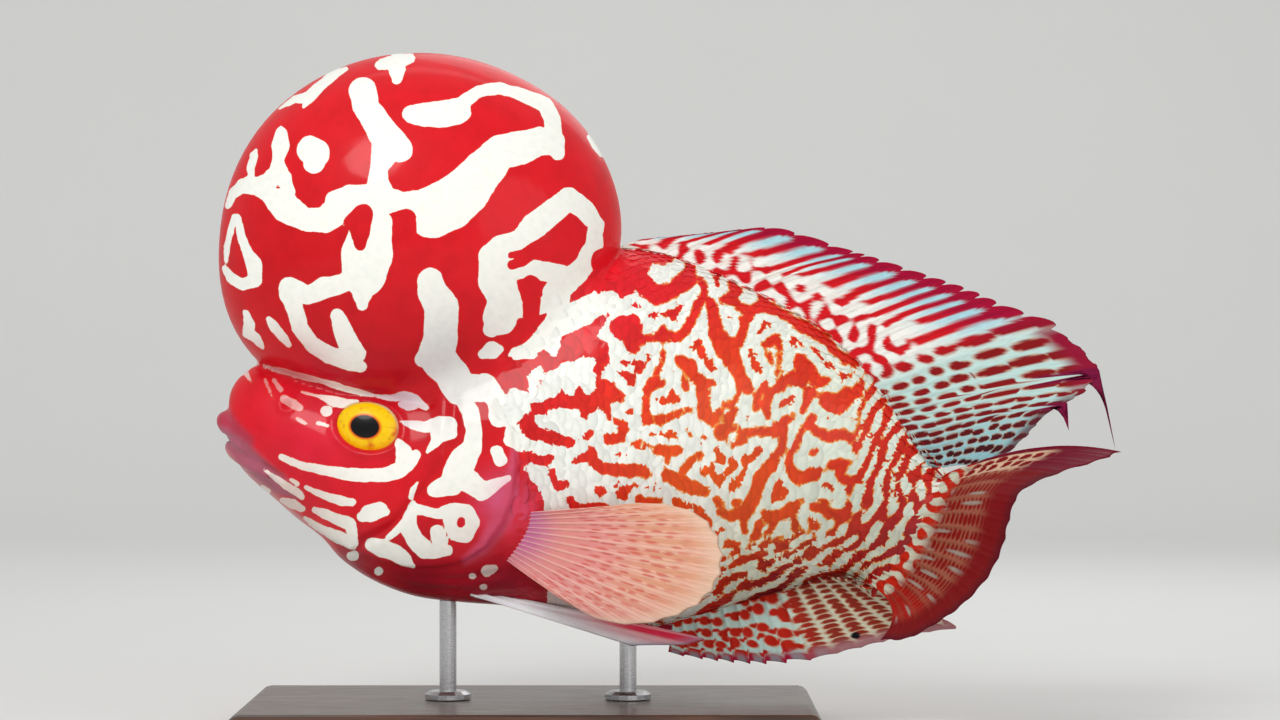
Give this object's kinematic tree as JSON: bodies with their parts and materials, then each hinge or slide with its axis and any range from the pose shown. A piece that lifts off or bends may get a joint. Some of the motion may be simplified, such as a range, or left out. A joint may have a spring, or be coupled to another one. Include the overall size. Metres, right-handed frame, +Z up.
{
  "type": "flowerhorn cichlid, life-size still model on a display stand",
  "caption": "Life-size still model of a flowerhorn cichlid, a deep-bodied aquarium fish with a rounded nuchal hump, on a flat stand with short rods.",
  "frame": {"origin": "centre of the underside of the stand's base", "axes": "+Z up, +X from the head to the tail, the fish's left side faces -Y"},
  "size_m": [0.2522, 0.1118, 0.1892],
  "materials": {
    "skin": "wet, glossy scaled skin, red with white and cream winding marks",
    "fin": "thin rayed membrane, cyan white with rows of dark red marks and a dark red edge",
    "eye": "polished, yellow iris with a black pupil",
    "stand_wood": "dark stained wood, satin varnish",
    "stand_rod": "brushed steel"
  },
  "bodies": {
    "root": {"head": "skin", "lower_jaw": "skin", "nuchal_hump": "skin", "trunk": "skin", "tail_stalk": "skin", "gill_cover_left": "skin", "gill_cover_right": "skin", "eye_left": "eye", "eye_right": "eye", "dorsal_fin": "fin", "anal_fin": "fin", "tail_fin": "fin", "pectoral_fin_left": "fin", "pectoral_fin_right": "fin", "pelvic_fin_left": "fin", "pelvic_fin_right": "fin", "stand_base": "stand_wood", "stand_rod_front": "stand_rod", "stand_rod_rear": "stand_rod"}
  },
  "joints": []
}
